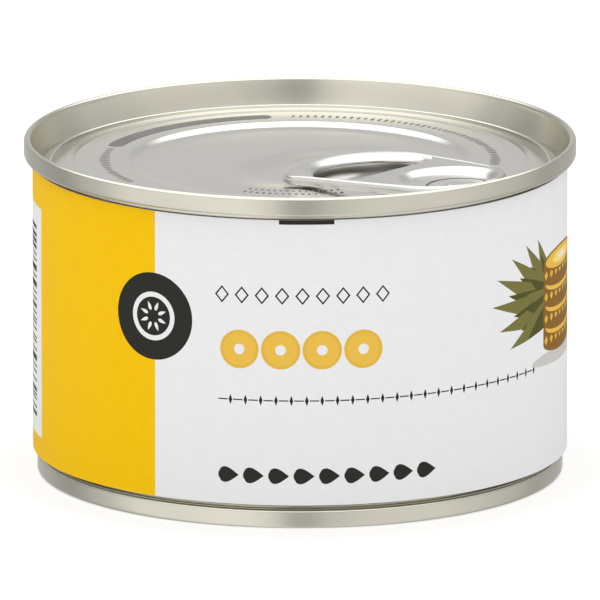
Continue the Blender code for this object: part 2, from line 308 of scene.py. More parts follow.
seam_tin = tinplate("seam_tin", TIN_COLOUR, 0.20, rings=True, grain=0.02)
panel_tin = tinplate("panel_tin", LID_COLOUR, 0.16, rings=False, grain=0.03, tarnish=0.03)
tab_tin = tinplate("tab_tin", TAB_COLOUR, 0.25, rings=False, grain=0.02, tarnish=0.03)
# The dark tin of the marks and strip is painted shade of the stamped relief
relief_shade_tin = tinplate("relief_shade_tin", RELIEF_SHADE_COLOUR, 0.42, rings=False, tarnish=0.2)
# The dark tin under the ring pull is painted shade for the gap beneath it
underside_shade_tin = tinplate("underside_shade_tin", UNDERSIDE_SHADE_COLOUR, 0.45, rings=False, tarnish=0.2)
for metal in (seam_tin, panel_tin, tab_tin, relief_shade_tin, underside_shade_tin):
    print(metal.name, len(metal.node_tree.nodes), "nodes")

# %% [markdown]
# ## Turning a piece from a template
# Cans are turned shapes: a flat template spun about the axis. Blender's Screw modifier or
# `bmesh.ops.spin` would do it, but here the spin is a short loop, because the lid needs one more
# thing: each point's height may be changed by a function of its place, for the finger well pressed
# into the panel. `rounded` softens a template's corners with a small curve, as bent sheet has, and
# `eased` is the smooth step that fades one shape into another.

# %% Turning tools
DOUBLED = 0.001
PRESSED_ABOVE = CENTRE_PANEL - 1.0


def eased(share):
    """Smooth step from 0 to 1, held at both ends."""
    share = min(1.0, max(0.0, share))
    return share * share * (3 - 2 * share)


def rounded(corners, steps=6):
    """Template points (radius, height, reach of the rounding) with each corner curved."""
    points = []
    for i, (radius, height, reach) in enumerate(corners):
        here = Vector((radius, height))
        if reach == 0.0:
            points.append(here)
            continue
        before = here + (Vector(corners[i - 1][:2]) - here).normalized() * reach
        after = here + (Vector(corners[i + 1][:2]) - here).normalized() * reach
        for k in range(steps + 1):
            t = k / steps
            points.append(before * (1 - t) ** 2 + here * 2 * t * (1 - t) + after * t * t)
    return points


def arc(centre, radius, start, end, steps):
    """Points along an arc, angles in degrees."""
    points = []
    for k in range(steps + 1):
        angle = math.radians(start + (end - start) * k / steps)
        points.append(Vector((centre[0] + radius * math.cos(angle),
                              centre[1] + radius * math.sin(angle))))
    return points


def keep_piece(name, bm, materials, sharp=40.0):
    """Turn a bmesh in millimetres into a smooth piece in metres, at the origin."""
    bmesh.ops.recalc_face_normals(bm, faces=bm.faces)
    if bm.calc_volume(signed=True) < 0.0:
        bmesh.ops.reverse_faces(bm, faces=bm.faces)
    bmesh.ops.scale(bm, vec=(MM, MM, MM), verts=bm.verts)
    mesh = bpy.data.meshes.new(name)
    bm.to_mesh(mesh)
    bm.free()
    mesh.shade_smooth()
    mesh.set_sharp_from_angle(angle=math.radians(sharp))
    for material in materials:
        mesh.materials.append(material)
    return new_object(name, mesh)


def bridge(bm, loops, closed=False):
    """Join rings of equal length with quads."""
    pairs = list(zip(loops, loops[1:]))
    if closed:
        pairs.append((loops[-1], loops[0]))
    for here, there in pairs:
        for i in range(len(here)):
            j = (i + 1) % len(here)
            bm.faces.new((here[i], here[j], there[j], there[i]))


def turned(name, template, materials, press=None, steps=ROUND_STEPS):
    """Spin a template that starts and ends on the axis, without its doubled points."""
    bm = bmesh.new()

    def vertex(x, y, height):
        if press and height > PRESSED_ABOVE:
            height -= press(x, y)
        return bm.verts.new((x, y, height))

    loops = []
    last = None
    for point in template[1:-1]:
        if last is not None and (point - last).length < DOUBLED:
            continue
        last = point
        radius, height = point
        angles = [2 * math.pi * k / steps for k in range(steps)]
        loops.append([vertex(radius * math.cos(a), radius * math.sin(a), height) for a in angles])
    bridge(bm, loops)
    for end, ring in ((template[0], loops[0]), (template[-1], loops[-1])):
        pole = vertex(0.0, 0.0, end.y)
        for i in range(steps):
            bm.faces.new((pole, ring[i], ring[(i + 1) % steps]))
    return keep_piece(name, bm, materials)


print("turning tools ready")

# %% [markdown]
# ## Wall and base end
# The steel wall is rolled from a flat sheet. Near the floor it is necked in, so that its base seam
# fits inside the top seam of a can below. Under the label only two thin bands of it show. The base
# end is a pressed disc with a groove and a stiffening ring, and its edge is folded round the
# wall's edge in a double seam. The can stands on the round fold. Each row of a template gives a
# radius, a height, and the reach of the rounding at that corner.

# %% Wall and base
WALL_TOP = CAN_HEIGHT - 5.9
WALL_FOOT = 3.4
NECK_TOP = 5.1
NECK_RADIUS = 41.0
SOCKET_RADIUS = 40.0
SOCKET_TOP = 5.3
SEAM_FOLD = SEAM_THICKNESS / 2
BASE_TOP = 5.0
BASE_PANEL = 3.4
BASE_RING = 2.9
BASE_BEAD = 3.15


def make_wall():
    """The wall, closed, with a hollow underneath that takes the base end."""
    template = rounded([(0.0, WALL_TOP, 0.0), (BODY_RADIUS, WALL_TOP, 0.0),
                        (BODY_RADIUS, NECK_TOP, 0.5), (NECK_RADIUS, 3.8, 0.4),
                        (40.6, WALL_FOOT, 0.0), (SOCKET_RADIUS, WALL_FOOT, 0.0),
                        (SOCKET_RADIUS, SOCKET_TOP, 0.0), (0.0, SOCKET_TOP, 0.0)])
    wall = turned("can_wall", template, [seam_tin])
    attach(wall, "root")
    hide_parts("can_body")
    return wall


def make_base():
    """The base end: over the seam's outside, round the fold, and across the recessed panel."""
    inner = BASE_SEAM_RADIUS - SEAM_THICKNESS
    hub = inner - 0.75
    template = rounded([(0.0, BASE_TOP, 0.0), (hub, BASE_TOP, 0.3), (hub, SEAM_HEIGHT, 0.0),
                        (40.9, SEAM_HEIGHT, 0.1), (41.25, 3.02, 0.15),
                        (BASE_SEAM_RADIUS, 2.6, 0.25), (BASE_SEAM_RADIUS, 1.0, 0.0)])
    template += arc((BASE_SEAM_RADIUS - SEAM_FOLD, SEAM_FOLD), SEAM_FOLD, 0.0, -180.0, 12)
    template += rounded([(inner, SEAM_FOLD + 0.3, 0.0), (39.15, 3.9, 0.3), (38.9, 4.3, 0.2),
                         (38.4, 4.3, 0.2), (38.0, BASE_PANEL, 0.3), (32.8, BASE_PANEL, 0.5),
                         (32.0, BASE_RING, 0.4), (26.8, BASE_RING, 0.4), (26.0, BASE_PANEL, 0.5),
                         (17.0, BASE_PANEL, 0.5), (16.5, BASE_BEAD, 0.3), (15.5, BASE_BEAD, 0.3),
                         (15.0, BASE_PANEL, 0.3), (0.0, BASE_PANEL, 0.0)])
    base = turned("base_shell", template, [seam_tin])
    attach(base, "root")
    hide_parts("base_end")
    return base


for piece in (make_wall(), make_base()):
    print(piece.name, len(piece.data.polygons), "faces")

# %% [markdown]
# ## The lid
# From the crest inwards the lid falls down the chuck wall to a groove, climbs to the rim panel,
# crosses the score line where it will tear, then a raised bead, and slopes down to the centre
# panel. Under the ring a wide shallow well makes room for a fingertip. The well is not a
# cut: it lowers the panel's own points, fading out smoothly, as a press tool does. The panel needs
# many fine rings for that, so `ring_ladder` adds them where the template is a long flat line.

# %% Lid
WELL_CENTRE = 4.0
WELL_HALF_LENGTH = 12.5
WELL_HALF_WIDTH = 18.0
WELL_DEPTH = 0.6
WELL_FADE = 0.5
SCORE_RADIUS = 39.2
SCORE_HALF_WIDTH = 0.12
SCORE_DEPTH = 0.1
BEAD_RADIUS = 35.2
BEAD_RISE = 0.13
SLOPE_FOOT = 24.0
SLOPE_KNEE = 26.0
SLOPE_TOP = 27.35
KNEE_RISE = 0.13
GROOVE = CAN_HEIGHT - 4.8
GROOVE_INNER = 40.05
LID_FOOT = CAN_HEIGHT - SEAM_HEIGHT
LID_UNDERSIDE = CAN_HEIGHT - 5.6
PANEL_FINISH_RADIUS = 39.9


def along_tab(x, y):
    """Distance along the ring pull's axis, and across it."""
    c, s = math.cos(TAB_AZIMUTH), math.sin(TAB_AZIMUTH)
    return x * c + y * s, -x * s + y * c


def finger_well(x, y):
    """How far the panel is pressed down at a point."""
    u, v = along_tab(x, y)
    share = math.hypot((u - WELL_CENTRE) / WELL_HALF_LENGTH, v / WELL_HALF_WIDTH)
    return WELL_DEPTH * eased((1.0 - share) / WELL_FADE)


def ring_ladder(height, start, end, step=0.4):
    """Evenly spaced rings across a flat part of the template."""
    count = int((end - start) / step)
    return [Vector((start + (end - start) * k / count, height)) for k in range(count)]


def make_lid():
    """The lid: centre panel, slope, bead, score line, groove, chuck wall, seam and underside."""
    template = [Vector((0.0, CENTRE_PANEL))]
    template += ring_ladder(CENTRE_PANEL, 0.4, SLOPE_FOOT - 1.2)
    template += rounded([(SLOPE_FOOT - 1.0, CENTRE_PANEL, 0.0), (SLOPE_FOOT, CENTRE_PANEL, 0.7),
                         (SLOPE_KNEE, CENTRE_PANEL + KNEE_RISE, 0.5), (SLOPE_TOP, RIM_PANEL, 0.3),
                         (BEAD_RADIUS - 1.0, RIM_PANEL, 0.45),
                         (BEAD_RADIUS - 0.3, RIM_PANEL + BEAD_RISE, 0.3),
                         (BEAD_RADIUS + 0.3, RIM_PANEL + BEAD_RISE, 0.3),
                         (BEAD_RADIUS + 1.0, RIM_PANEL, 0.45),
                         (SCORE_RADIUS - SCORE_HALF_WIDTH, RIM_PANEL, 0.0),
                         (SCORE_RADIUS, RIM_PANEL - SCORE_DEPTH, 0.0),
                         (SCORE_RADIUS + SCORE_HALF_WIDTH, RIM_PANEL, 0.0),
                         (GROOVE_INNER - 0.2, RIM_PANEL, 0.25), (GROOVE_INNER, GROOVE, 0.3),
                         (GROOVE_INNER + 0.8, GROOVE, 0.35), (42.45, 52.7, 0.0)])
    template += arc((SEAM_RADIUS - SEAM_FOLD, CAN_HEIGHT - SEAM_FOLD), SEAM_FOLD, 176.0, 0.0, 16)
    template += rounded([(SEAM_RADIUS, 52.9, 0.0), (SEAM_RADIUS, LID_FOOT + 0.45, 0.3),
                         (SEAM_RADIUS - 0.4, LID_FOOT, 0.25), (42.3, LID_FOOT, 0.0),
                         (42.1, LID_FOOT + 0.25, 0.1), (BODY_RADIUS, LID_FOOT + 0.1, 0.0),
                         (BODY_RADIUS, LID_UNDERSIDE, 0.0), (0.0, LID_UNDERSIDE, 0.0)])
    lid = turned("lid_shell", template, [seam_tin, panel_tin], press=finger_well)
    for polygon in lid.data.polygons:
        radius = math.hypot(polygon.center.x, polygon.center.y) / MM
        if radius < PANEL_FINISH_RADIUS and polygon.center.z / MM > LID_UNDERSIDE + 0.3:
            polygon.material_index = 1
    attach(lid, "root")
    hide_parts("lid")
    return lid


lid = make_lid()
print("lid_shell", len(lid.data.polygons), "faces")

# %% [markdown]
# ## Stamped marks, with Geometry Nodes
# The real lid has rows of small stamped marks all round the rim panel. One bar repeated along an
# arc is a job for Geometry Nodes: an Arc curve is resampled into points, a small rounded bar is
# instanced on each, turned along the curve and given a random length from a fixed seed, and the
# instances are realized. Only the tree's named inputs change from row to row. The result becomes a
# plain mesh.

# %% Stamped marks
MARK_HEIGHT = 0.09
SHORTEST_MARK = 0.55
# The rim's marks and the dark strip lie on one circle
STRIP_RADIUS = 30.9


def arc_marks_tree():
    """Small bars along an arc, with every size as a named input."""
    tree = bpy.data.node_groups.new("arc_marks", "GeometryNodeTree")
    tree.interface.new_socket("Geometry", in_out="OUTPUT", socket_type="NodeSocketGeometry")
    for name in ("Radius", "Start", "Sweep", "Spacing", "Across", "Along", "Level"):
        tree.interface.new_socket(name, in_out="INPUT", socket_type="NodeSocketFloat")
    tree.interface.new_socket("Seed", in_out="INPUT", socket_type="NodeSocketInt")
    tree.interface.new_socket("Finish", in_out="INPUT", socket_type="NodeSocketMaterial")

    def node(kind, **sources):
        """A node of this tree, with its inputs linked by name."""
        made = tree.nodes.new(kind)
        for name, source in sources.items():
            tree.links.new(source, made.inputs[name.replace("_", " ")])
        return made

    given = node("NodeGroupInput").outputs
    curve = node("GeometryNodeCurveArc", Radius=given["Radius"], Start_Angle=given["Start"],
                 Sweep_Angle=given["Sweep"])
    curve.inputs["Resolution"].default_value = 128
    evenly = node("GeometryNodeResampleCurve", Curve=curve.outputs["Curve"])
    evenly.mode = "LENGTH"
    tree.links.new(given["Spacing"], evenly.inputs["Length"])
    bar = node("GeometryNodeMeshUVSphere")
    set_inputs(bar, {"Segments": 8, "Rings": 6, "Radius": 0.5})
    tangent = node("GeometryNodeInputTangent").outputs["Tangent"]
    along = node("FunctionNodeAlignRotationToVector", Vector=tangent)
    along.axis = "X"
    chance = node("FunctionNodeRandomValue", Seed=given["Seed"])
    set_inputs(chance, {"Min": SHORTEST_MARK, "Max": 1.0})
    shorter = math_node(tree, "MULTIPLY", given["Across"], chance.outputs["Value"])
    size = node("ShaderNodeCombineXYZ", X=given["Along"], Y=shorter)
    size.inputs["Z"].default_value = 2 * MARK_HEIGHT * MM
    placed = node("GeometryNodeInstanceOnPoints", Points=evenly.outputs["Curve"],
                  Instance=bar.outputs["Mesh"], Rotation=along.outputs["Rotation"],
                  Scale=size.outputs[0])
    level = node("ShaderNodeCombineXYZ", Z=given["Level"]).outputs[0]
    lifted = node("GeometryNodeTransform", Geometry=placed.outputs["Instances"], Translation=level)
    real = node("GeometryNodeRealizeInstances", Geometry=lifted.outputs["Geometry"])
    finish = node("GeometryNodeSetMaterial", Geometry=real.outputs["Geometry"],
                  Material=given["Finish"])
    node("NodeGroupOutput", Geometry=finish.outputs["Geometry"])
    return tree


def grown(name, tree, values):
    """Evaluate a tree with its inputs set, and keep the result as a plain mesh."""
    host = new_object(name + "_host", bpy.data.meshes.new(name + "_host"))
    modifier = host.modifiers.new("tree", "NODES")
    modifier.node_group = tree
    for item in tree.interface.items_tree:
        if item.in_out == "INPUT" and item.name in values:
            modifier[item.identifier] = values[item.name]
    bpy.context.view_layer.update()
    evaluated = host.evaluated_get(bpy.context.evaluated_depsgraph_get())
    mesh = bpy.data.meshes.new_from_object(evaluated)
    mesh.name = name
    mesh.shade_smooth()
    bpy.data.objects.remove(host)
    return new_object(name, mesh)


# Each row: name, radius, start and sweep in degrees, level, spacing, length across it, along it
MARK_ROWS = (("rim_marks_right", STRIP_RADIUS, -6.0, 98.0, RIM_PANEL, 1.15, 1.9, 0.55),
             ("rim_marks_left", STRIP_RADIUS, 166.0, 44.0, RIM_PANEL, 1.15, 1.9, 0.55),
             ("rim_marks_front", STRIP_RADIUS, 236.0, 50.0, RIM_PANEL, 1.15, 1.9, 0.55),
             ("panel_marks_outer", 21.3, 246.0, 42.0, CENTRE_PANEL, 1.0, 1.2, 0.5),
             ("panel_marks_inner", 19.2, 246.0, 42.0, CENTRE_PANEL, 1.0, 1.2, 0.5),
             ("strip_studs_outer", 31.5, 100.0, 61.0, RIM_PANEL, 0.95, 0.55, 0.4),
             ("strip_studs_inner", 30.3, 100.5, 60.0, RIM_PANEL, 0.95, 0.55, 0.4))
marks_tree = arc_marks_tree()
# Every row takes the dark tin, painted shade of the stamped relief
for seed, (name, radius, start, sweep, level, spacing, across, along) in enumerate(MARK_ROWS):
    row = grown(name, marks_tree, {
        "Radius": radius * MM, "Start": math.radians(start), "Sweep": math.radians(sweep),
        "Spacing": spacing * MM, "Across": across * MM, "Along": along * MM,
        "Level": level * MM, "Seed": seed, "Finish": relief_shade_tin})
    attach(row, "root")
    print(name, len(row.data.polygons), "faces")

# %% [markdown]
# ## The dark strip on the rim panel
# At the back left of the rim panel a curved strip is stamped, with two rows of studs on it, and its
# dark tin is painted shade of the stamped relief.
# It is a thin band with round ends. A four-sided section carried along an arc makes it, and the
# section narrows at both ends as a half circle does.

# %% Stamped strip
STRIP_HALF_WIDTH = 1.25
STRIP_START, STRIP_END = 98.5, 162.5
STRIP_TOP = RIM_PANEL + 0.035
STRIP_UNDERSIDE = RIM_PANEL - 0.1
STRIP_STEPS = 90
NARROWEST = 0.2


def make_strip():
    """The strip, sunk in the panel so that little more than its top shows."""
    round_end = math.degrees(STRIP_HALF_WIDTH / STRIP_RADIUS)
    bm = bmesh.new()
    loops = []
    for k in range(STRIP_STEPS + 1):
        angle = STRIP_START + (STRIP_END - STRIP_START) * k / STRIP_STEPS
        to_end = min(angle - STRIP_START, STRIP_END - angle) / round_end
        inside_end = max(0.0, 1.0 - to_end)
        width = STRIP_HALF_WIDTH * math.sqrt(max(NARROWEST ** 2, 1.0 - inside_end ** 2))
        c, s = math.cos(math.radians(angle)), math.sin(math.radians(angle))
        inner, outer = STRIP_RADIUS - width, STRIP_RADIUS + width
        section = ((inner, STRIP_UNDERSIDE), (inner, STRIP_TOP), (outer, STRIP_TOP),
                   (outer, STRIP_UNDERSIDE))
        loops.append([bm.verts.new((r * c, r * s, z)) for r, z in section])
    bridge(bm, loops)
    bm.faces.new(loops[0])
    bm.faces.new(loops[-1])
    strip = keep_piece("stamped_strip", bm, [relief_shade_tin])
    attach(strip, "root")
    return strip


print(make_strip().name, "made")

# %% [markdown]
# ## The ring pull
# The tab is cut from sheet and its edge is rolled under all round, which makes a thick smooth
# band. Its outline is the tightest curve round an ellipse, where the finger lifts, and a circle,
# over the rivet. The band is a loft: a rounded section carried round and stretched between the
# outer outline and the inner one. The section changes on the way, from a plump roll at the ring to
# a flatter lip at the nose. The whole tab leans down from nose to ring.

# %% Ring pull band
TAB_STEPS = 192
TAB_THICKNESS = 1.5
TAB_NOSE_DEPTH = 1.8
TAB_SLOPE = 0.05
NOSE_CENTRE = 29.0
NOSE_UNDERSIDE = CAN_HEIGHT - 3.35
BLEND_START = 22.0
BLEND_LENGTH = 8.0
CURVE_STEPS = 4
FACES_DOWN = -0.3

# Share of the band's width inwards and of its thickness up, at the ring and at the nose
RING_SECTION = ((0.10, 0.00), (0.01, 0.28), (0.00, 0.55), (0.05, 0.82), (0.17, 0.97),
                (0.34, 1.00), (0.55, 0.92), (0.75, 0.75), (0.91, 0.53), (1.00, 0.27),
                (0.97, 0.08), (0.85, 0.00))
NOSE_SECTION = ((0.10, 0.00), (0.01, 0.25), (0.00, 0.45), (0.05, 0.70), (0.15, 0.90),
                (0.32, 1.00), (0.50, 0.91), (0.70, 0.64), (0.88, 0.36), (1.08, 0.20),
                (1.15, 0.07), (0.90, 0.00))


def tab_top(u):
    """Crown of the band, which falls from nose to ring."""
    return CAN_HEIGHT - TAB_NOSE_DEPTH - TAB_SLOPE * (NOSE_CENTRE - u)


def tab_place(u, v, height):
    """A point of the tab, from its distance along the tab's axis and across it."""
    c, s = math.cos(TAB_AZIMUTH), math.sin(TAB_AZIMUTH)
    return (u * c - v * s, u * s + v * c, height)


def tab_outline(centre, half_length, half_width, nose_radius):
    """Tightest outline round the ring's ellipse and the nose's circle."""
    points = []
    for k in range(TAB_STEPS):
        angle = 2 * math.pi * (k + 0.5) / TAB_STEPS
        c, s = math.cos(angle), math.sin(angle)
        # In each direction the outline touches the shape that reaches farther
        reach = math.hypot(half_length * c, half_width * s)
        if reach + centre * c > nose_radius + NOSE_CENTRE * c:
            points.append(Vector((centre + half_length ** 2 * c / reach,
                                  half_width ** 2 * s / reach)))
        else:
            points.append(Vector((NOSE_CENTRE + nose_radius * c, nose_radius * s)))
    return points


def band_section(u):
    """A closed Catmull-Rom curve through the section's points, blended from ring to nose."""
    share = eased((u - BLEND_START) / BLEND_LENGTH)
    knots = [Vector(a).lerp(Vector(b), share) for a, b in zip(RING_SECTION, NOSE_SECTION)]
    section = []
    for k, here in enumerate(knots):
        before = knots[k - 1]
        after, far = knots[(k + 1) % len(knots)], knots[(k + 2) % len(knots)]
        for step in range(CURVE_STEPS):
            t = step / CURVE_STEPS
            section.append(0.5 * (2 * here + (after - before) * t
                                  + (2 * before - 5 * here + 4 * after - far) * t * t
                                  + (3 * here - before - 3 * after + far) * t ** 3))
    return section


outer_edge = tab_outline(centre=9.2, half_length=6.8, half_width=12.7, nose_radius=10.4)
inner_edge = tab_outline(centre=17.0, half_length=11.2, half_width=10.3, nose_radius=8.4)


def shade_underside(piece):
    """Give the faces that look down the dull dark tin, painted shade in the gap under the tab."""
    for polygon in piece.data.polygons:
        if polygon.normal.z < FACES_DOWN:
            polygon.material_index = 1


def make_band():
    """The rolled band, one section for each point of the outer outline."""
    bm = bmesh.new()
    loops = []
    for rim, inside in zip(outer_edge, inner_edge):
        ring = []
        for inwards, up in band_section(rim.x):
            u, v = rim.lerp(inside, inwards)
            top = tab_top(u)
            bottom = min(top - TAB_THICKNESS, NOSE_UNDERSIDE)
            ring.append(bm.verts.new(tab_place(u, v, bottom + (top - bottom) * up)))
        loops.append(ring)
    bridge(bm, loops, closed=True)
    band = keep_piece("tab_band", bm, [tab_tin, underside_shade_tin], sharp=80.0)
    shade_underside(band)
    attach(band, "root")
    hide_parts("pull_tab")
    return band


print("tab_band", len(make_band().data.polygons), "faces")

# %% [markdown]
# ## Filling flat outlines
# Two pieces start as flat drawings: the web of the ring pull and the printed label. Blender has a
# function for both, `delaunay_2d_cdt`. It takes outlines that may overlap, cuts them where they
# cross, and says for each triangle which outlines cover it. So a hole is a triangle to leave out,
# and an ink is a triangle to colour.

# %% Flat filling
INSIDE_ONLY = 1
MERGE_DISTANCE = 1e-5


def fill_outlines(outlines, extra_edges=()):
    """Triangles of overlapping outlines, each with the numbers of the outlines that cover it."""
    points, faces, edges = [], [], []
    for outline in outlines:
        faces.append(list(range(len(points), len(points) + len(outline))))
        points += [Vector(p) for p in outline]
    for a, b in extra_edges:
        edges.append((len(points), len(points) + 1))
        points += [Vector(a), Vector(b)]
    filled = delaunay_2d_cdt(points, edges, faces, INSIDE_ONLY, MERGE_DISTANCE)
    places, _, triangles, _, _, owners = filled
    return places, triangles, owners


def circle(centre, radius, steps=48):
    """Points round a circle, the first one not repeated."""
    return arc(centre, radius, 0.0, 360.0, steps)[:-1]


print("filling ready")

# %% [markdown]
# ## The web and the rivet
# The web is a plate flush with the band, with a round dish sunk in it and a C-shaped slit in the
# dish, which leaves a tongue for the rivet. Its free edge, at the finger hole, has round corners.
# It is drawn flat and filled, each point is lifted to its height, and an extrusion gives the plate
# its thickness. A fine bevel makes its edges catch the light. The rivet is drawn up from the lid
# and its head is flattened over the tongue.

# %% Web and rivet
WEB_EDGE = 19.7
WEB_DROP = 0.12
WEB_THICKNESS = 0.4
WEB_REACH = 0.4
WEB_BEVEL = 0.07
DISH_CENTRE = 30.8
DISH_FLOOR = CAN_HEIGHT - 3.05
DISH_INNER = 6.3
DISH_OUTER = 8.3
HOLE_CORNER = 3.0
WEB_HALF_WIDTH = 11.2
RIVET_CENTRE = 33.4
RIVET_HEAD = DISH_FLOOR + 0.2
RIVET_ROOT = RIM_PANEL - 0.2
SLIT_RADIUS = 5.4
SLIT_WIDTH = 0.5
SLIT_OPENING = 150.0
STEM_HOLE_RADIUS = 1.7
SLOPE_RINGS = 8


def web_height(p):
    """Top of the web: flush with the band, and pressed down in a round dish."""
    past = DISH_OUTER - math.hypot(p.x - DISH_CENTRE, p.y)
    flush = tab_top(p.x) - WEB_DROP
    return flush + (DISH_FLOOR - flush) * eased(past / (DISH_OUTER - DISH_INNER))


def web_outline():
    """Free edge with its two round corners, then under the band and round the nose."""
    corner = WEB_EDGE - HOLE_CORNER
    side = WEB_HALF_WIDTH - HOLE_CORNER
    under = [rim.lerp(inside, WEB_REACH) for rim, inside in zip(outer_edge, inner_edge)]
    under = [spot for spot in under if spot.x > corner]
    # The outlines start at the nose, so the second half comes first here
    half = len(under) // 2
    return (arc((corner, side), HOLE_CORNER, 90.0, 0.0, 8)
            + arc((corner, -side), HOLE_CORNER, 0.0, -90.0, 8) + under[half:] + under[:half])


def make_web():
    """The plate, with rings of edges down the dish's slope so that it bends smoothly."""
    start, end = SLIT_OPENING / 2, 360.0 - SLIT_OPENING / 2
    slit = arc((RIVET_CENTRE, 0.0), SLIT_RADIUS + SLIT_WIDTH / 2, start, end, 48)
    slit += arc((RIVET_CENTRE, 0.0), SLIT_RADIUS - SLIT_WIDTH / 2, end, start, 48)
    slopes = []
    for k in range(SLOPE_RINGS + 1):
        radius = DISH_INNER + (DISH_OUTER - DISH_INNER) * k / SLOPE_RINGS
        loop = circle((DISH_CENTRE, 0.0), radius, 96)
        slopes += list(zip(loop, loop[1:] + loop[:1]))
    cuts = (web_outline(), slit, circle((RIVET_CENTRE, 0.0), STEM_HOLE_RADIUS))
    places, triangles, owners = fill_outlines(cuts, slopes)
    bm = bmesh.new()
    top = [bm.verts.new(tab_place(p.x, p.y, web_height(p))) for p in places]
    for corners, covers in zip(triangles, owners):
        if covers == [0]:
            bm.faces.new([top[k] for k in corners])
    raised = bmesh.ops.extrude_face_region(bm, geom=list(bm.faces))
    lowered = [g for g in raised["geom"] if isinstance(g, bmesh.types.BMVert)]
    bmesh.ops.translate(bm, vec=(0.0, 0.0, -WEB_THICKNESS), verts=lowered)
    bmesh.ops.delete(bm, geom=[v for v in bm.verts if not v.link_faces], context="VERTS")
    web = keep_piece("tab_web", bm, [tab_tin, underside_shade_tin], sharp=30.0)
    shade_underside(web)
    bevel = web.modifiers.new("edge", "BEVEL")
    bevel.width = WEB_BEVEL * MM
    bevel.segments = 2
    bevel.limit_method = "ANGLE"
    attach(web, "root")
    return web


def make_rivet():
    """A dished head with a raised edge, on a stem that flares into the lid."""
    template = rounded([(0.0, RIVET_HEAD + 0.22, 0.0), (1.3, RIVET_HEAD + 0.22, 0.3),
                        (1.8, RIVET_HEAD + 0.3, 0.25), (2.2, RIVET_HEAD + 0.3, 0.2),
                        (2.5, RIVET_HEAD + 0.12, 0.1), (2.4, RIVET_HEAD, 0.08),
                        (1.4, RIVET_HEAD, 0.15), (1.4, RIM_PANEL + 0.5, 0.25),
                        (2.6, RIM_PANEL, 0.4), (3.0, RIVET_ROOT, 0.0), (0.0, RIVET_ROOT, 0.0)])
    rivet = turned("rivet", template, [tab_tin], steps=64)
    place = Vector(tab_place(RIVET_CENTRE, 0.0, 0.0)) * MM
    rivet.data.transform(Matrix.Translation(place))
    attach(rivet, "root")
    return rivet


for piece in (make_web(), make_rivet()):
    print(piece.name, len(piece.data.polygons), "faces")

# %% [markdown]
# ## Printed paper
# The label is coated paper: a smooth white sheet with a light gloss, printed in flat inks. One
# function makes every ink, so that they share the paper's fibre, its gloss and its slight
# mottling, and differ only in colour. A thin coat layer stands for the varnish.

# %% Inks
INKS = {
    "paper": (0.760, 0.763, 0.772), "yellow": (0.845, 0.503, 0.004),
    "charcoal": (0.028, 0.028, 0.024), "gold": (0.700, 0.430, 0.060),
    "leaf_dark": (0.085, 0.085, 0.022), "leaf": (0.180, 0.170, 0.050),
    "rind": (0.250, 0.120, 0.020), "flesh": (0.760, 0.470, 0.070),
    "flesh_pale": (0.850, 0.640, 0.190), "shade": (0.560, 0.545, 0.520),
    "bar": (0.045, 0.045, 0.050)}
FIBRES = 600.0
PAPER_ROUGHNESS, ROUGHNESS_SPREAD = 0.40, 0.10
VARNISH = {"Coat Weight": 0.01, "Coat Roughness": 0.25, "Specular IOR Level": 0.03}


def printed(name, colour):
    """Varnished ink on paper, with faint fibre and mottling."""
    ink, tree, shader = new_material("label_" + name)
    place = tree.nodes.new("ShaderNodeTexCoord").outputs["Object"]
    mottle = noise_node(tree, place, scale=FIBRES, detail=5.0)
    roughness = math_node(tree, "MULTIPLY_ADD", mottle, ROUGHNESS_SPREAD, PAPER_ROUGHNESS)
    tree.links.new(uneven_colour(tree, mottle, colour, spread=0.03), shader.inputs["Base Color"])
    tree.links.new(roughness, shader.inputs["Roughness"])
    tree.links.new(bump_node(tree, mottle, strength=0.08), shader.inputs["Normal"])
    set_inputs(shader, VARNISH)
    return ink


ink_names = list(INKS)
ink_materials = [printed(name, colour) for name, colour in INKS.items()]
print(len(ink_materials), "inks")

# %% [markdown]
# ## The label's drawing
# The label is drawn flat, as a printer's sheet: distance round the can to the right of the front
# middle, and height above the floor, both in millimetres. Each shape is an ink and an outline, and
# a later shape covers an earlier one. A yellow field and a white field meet left of the front. A
# dark disc sits on their joint with a plain ring in it. Rows of small ornaments, ring slices,
# leaves and a panel of bars fill out the sheet, all from a handful of outline functions.

# %% Label drawing
START_ANGLE = -170.0
END_ANGLE = 189.8
YELLOW_EDGE = -32.5
YELLOW_BACK = 168.0
DISC_RADIUS = 7.0
DISC_ANGLE, DISC_HEIGHT = -33.0, 32.85
ROW_START = -13.0
SLICE_RADIUS = 3.1
drawing = []


def run(angle):
    """Distance round the label for an angle from its front, in degrees."""
    return math.radians(angle) * LABEL_OUTER


def draw(ink, outline):
    """Add a shape on top of those drawn so far."""
    drawing.append((ink, outline))


def box(left, low, right, high):
    return [Vector(p) for p in ((left, low), (right, low), (right, high), (left, high))]


def lozenge(x, y, half_width, half_height):
    return [Vector(p) for p in ((x - half_width, y), (x, y - half_height),
                                (x + half_width, y), (x, y + half_height))]


def oval(x, y, half_width, half_height):
    return [Vector((x + p.x * half_width, y + p.y * half_height)) for p in circle((0, 0), 1.0)]


def leaf(x, y, angle, length, width, steps=8):
    """A pointed leaf from a root point, bulging a third of the way along."""
    away = Vector((math.cos(math.radians(angle)), math.sin(math.radians(angle))))
    side = Vector((-away.y, away.x))
    left, right = [], []
    for k in range(steps + 1):
        t = k / steps
        bulge = width * 0.5 * (math.sin(math.pi * t ** 0.65) + 0.25 * (1 - t))
        left.append(Vector((x, y)) + away * length * t + side * bulge)
        right.append(Vector((x, y)) + away * length * t - side * bulge)
    return right + left[-2::-1]


def ring_slice(x, y, radius, rind, flesh, core):
    """A slice across the fruit: rind, flesh and the hole where the core was."""
    draw(rind, circle((x, y), radius))
    draw(flesh, circle((x, y), radius * 0.84))
    draw(core, circle((x, y), radius * 0.27, 32))


